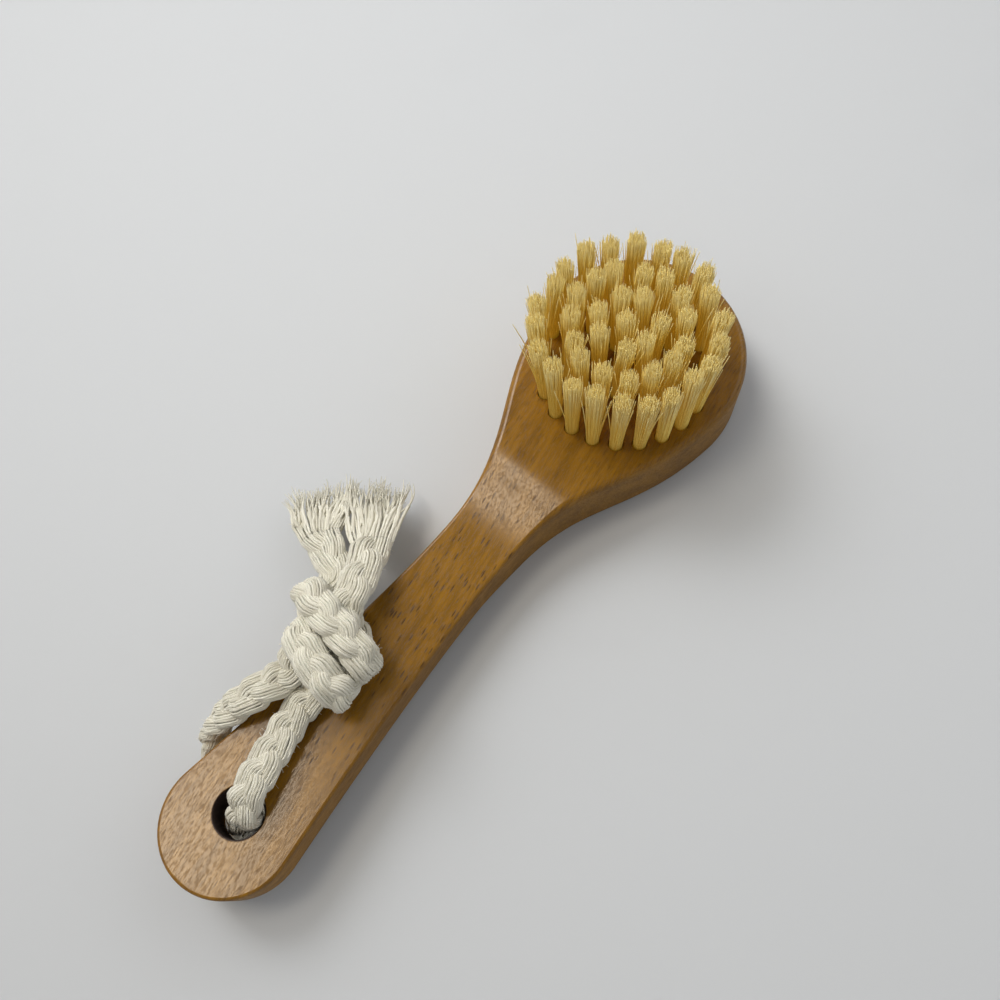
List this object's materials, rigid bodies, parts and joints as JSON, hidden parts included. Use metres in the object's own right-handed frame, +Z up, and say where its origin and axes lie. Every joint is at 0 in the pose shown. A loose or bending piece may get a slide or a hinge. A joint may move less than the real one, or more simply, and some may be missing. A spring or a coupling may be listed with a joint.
{
  "type": "facial brush",
  "caption": "Wooden hand brush with a round head of upright bristle tufts, a slim waisted handle and a knotted cotton hanging cord through the handle's end.",
  "frame": {"origin": "under the middle of the brush's length, on the plane that the flat back of the head lies on", "axes": "+X along the handle towards the head, +Y across it to the side that the cord wraps, +Z up out of the bristle face"},
  "size_m": [0.145, 0.0566, 0.0333],
  "materials": {
    "beech": "oiled satin beech",
    "bristle": "natural pale bristle",
    "cotton": "undyed cotton plait"
  },
  "bodies": {
    "root": {"wooden_body": "beech", "tuft_centre": "bristle", "tuft_inner_1": "bristle", "tuft_inner_2": "bristle", "tuft_inner_3": "bristle", "tuft_inner_4": "bristle", "tuft_inner_5": "bristle", "tuft_inner_6": "bristle", "tuft_inner_7": "bristle", "tuft_middle_1": "bristle", "tuft_middle_2": "bristle", "tuft_middle_3": "bristle", "tuft_middle_4": "bristle", "tuft_middle_5": "bristle", "tuft_middle_6": "bristle", "tuft_middle_7": "bristle", "tuft_middle_8": "bristle", "tuft_middle_9": "bristle", "tuft_middle_10": "bristle", "tuft_middle_11": "bristle", "tuft_middle_12": "bristle", "tuft_middle_13": "bristle", "tuft_middle_14": "bristle", "tuft_middle_15": "bristle", "tuft_outer_1": "bristle", "tuft_outer_2": "bristle", "tuft_outer_3": "bristle", "tuft_outer_4": "bristle", "tuft_outer_5": "bristle", "tuft_outer_6": "bristle", "tuft_outer_7": "bristle", "tuft_outer_8": "bristle", "tuft_outer_9": "bristle", "tuft_outer_10": "bristle", "tuft_outer_11": "bristle", "tuft_outer_12": "bristle", "tuft_outer_13": "bristle", "tuft_outer_14": "bristle", "tuft_outer_15": "bristle", "tuft_outer_16": "bristle", "tuft_outer_17": "bristle", "tuft_outer_18": "bristle", "tuft_outer_19": "bristle", "tuft_outer_20": "bristle", "tuft_outer_21": "bristle", "tuft_outer_22": "bristle", "cord_loop": "cotton", "cord_knot": "cotton", "cord_tail_left": "cotton", "cord_tail_right": "cotton"}
  },
  "joints": []
}
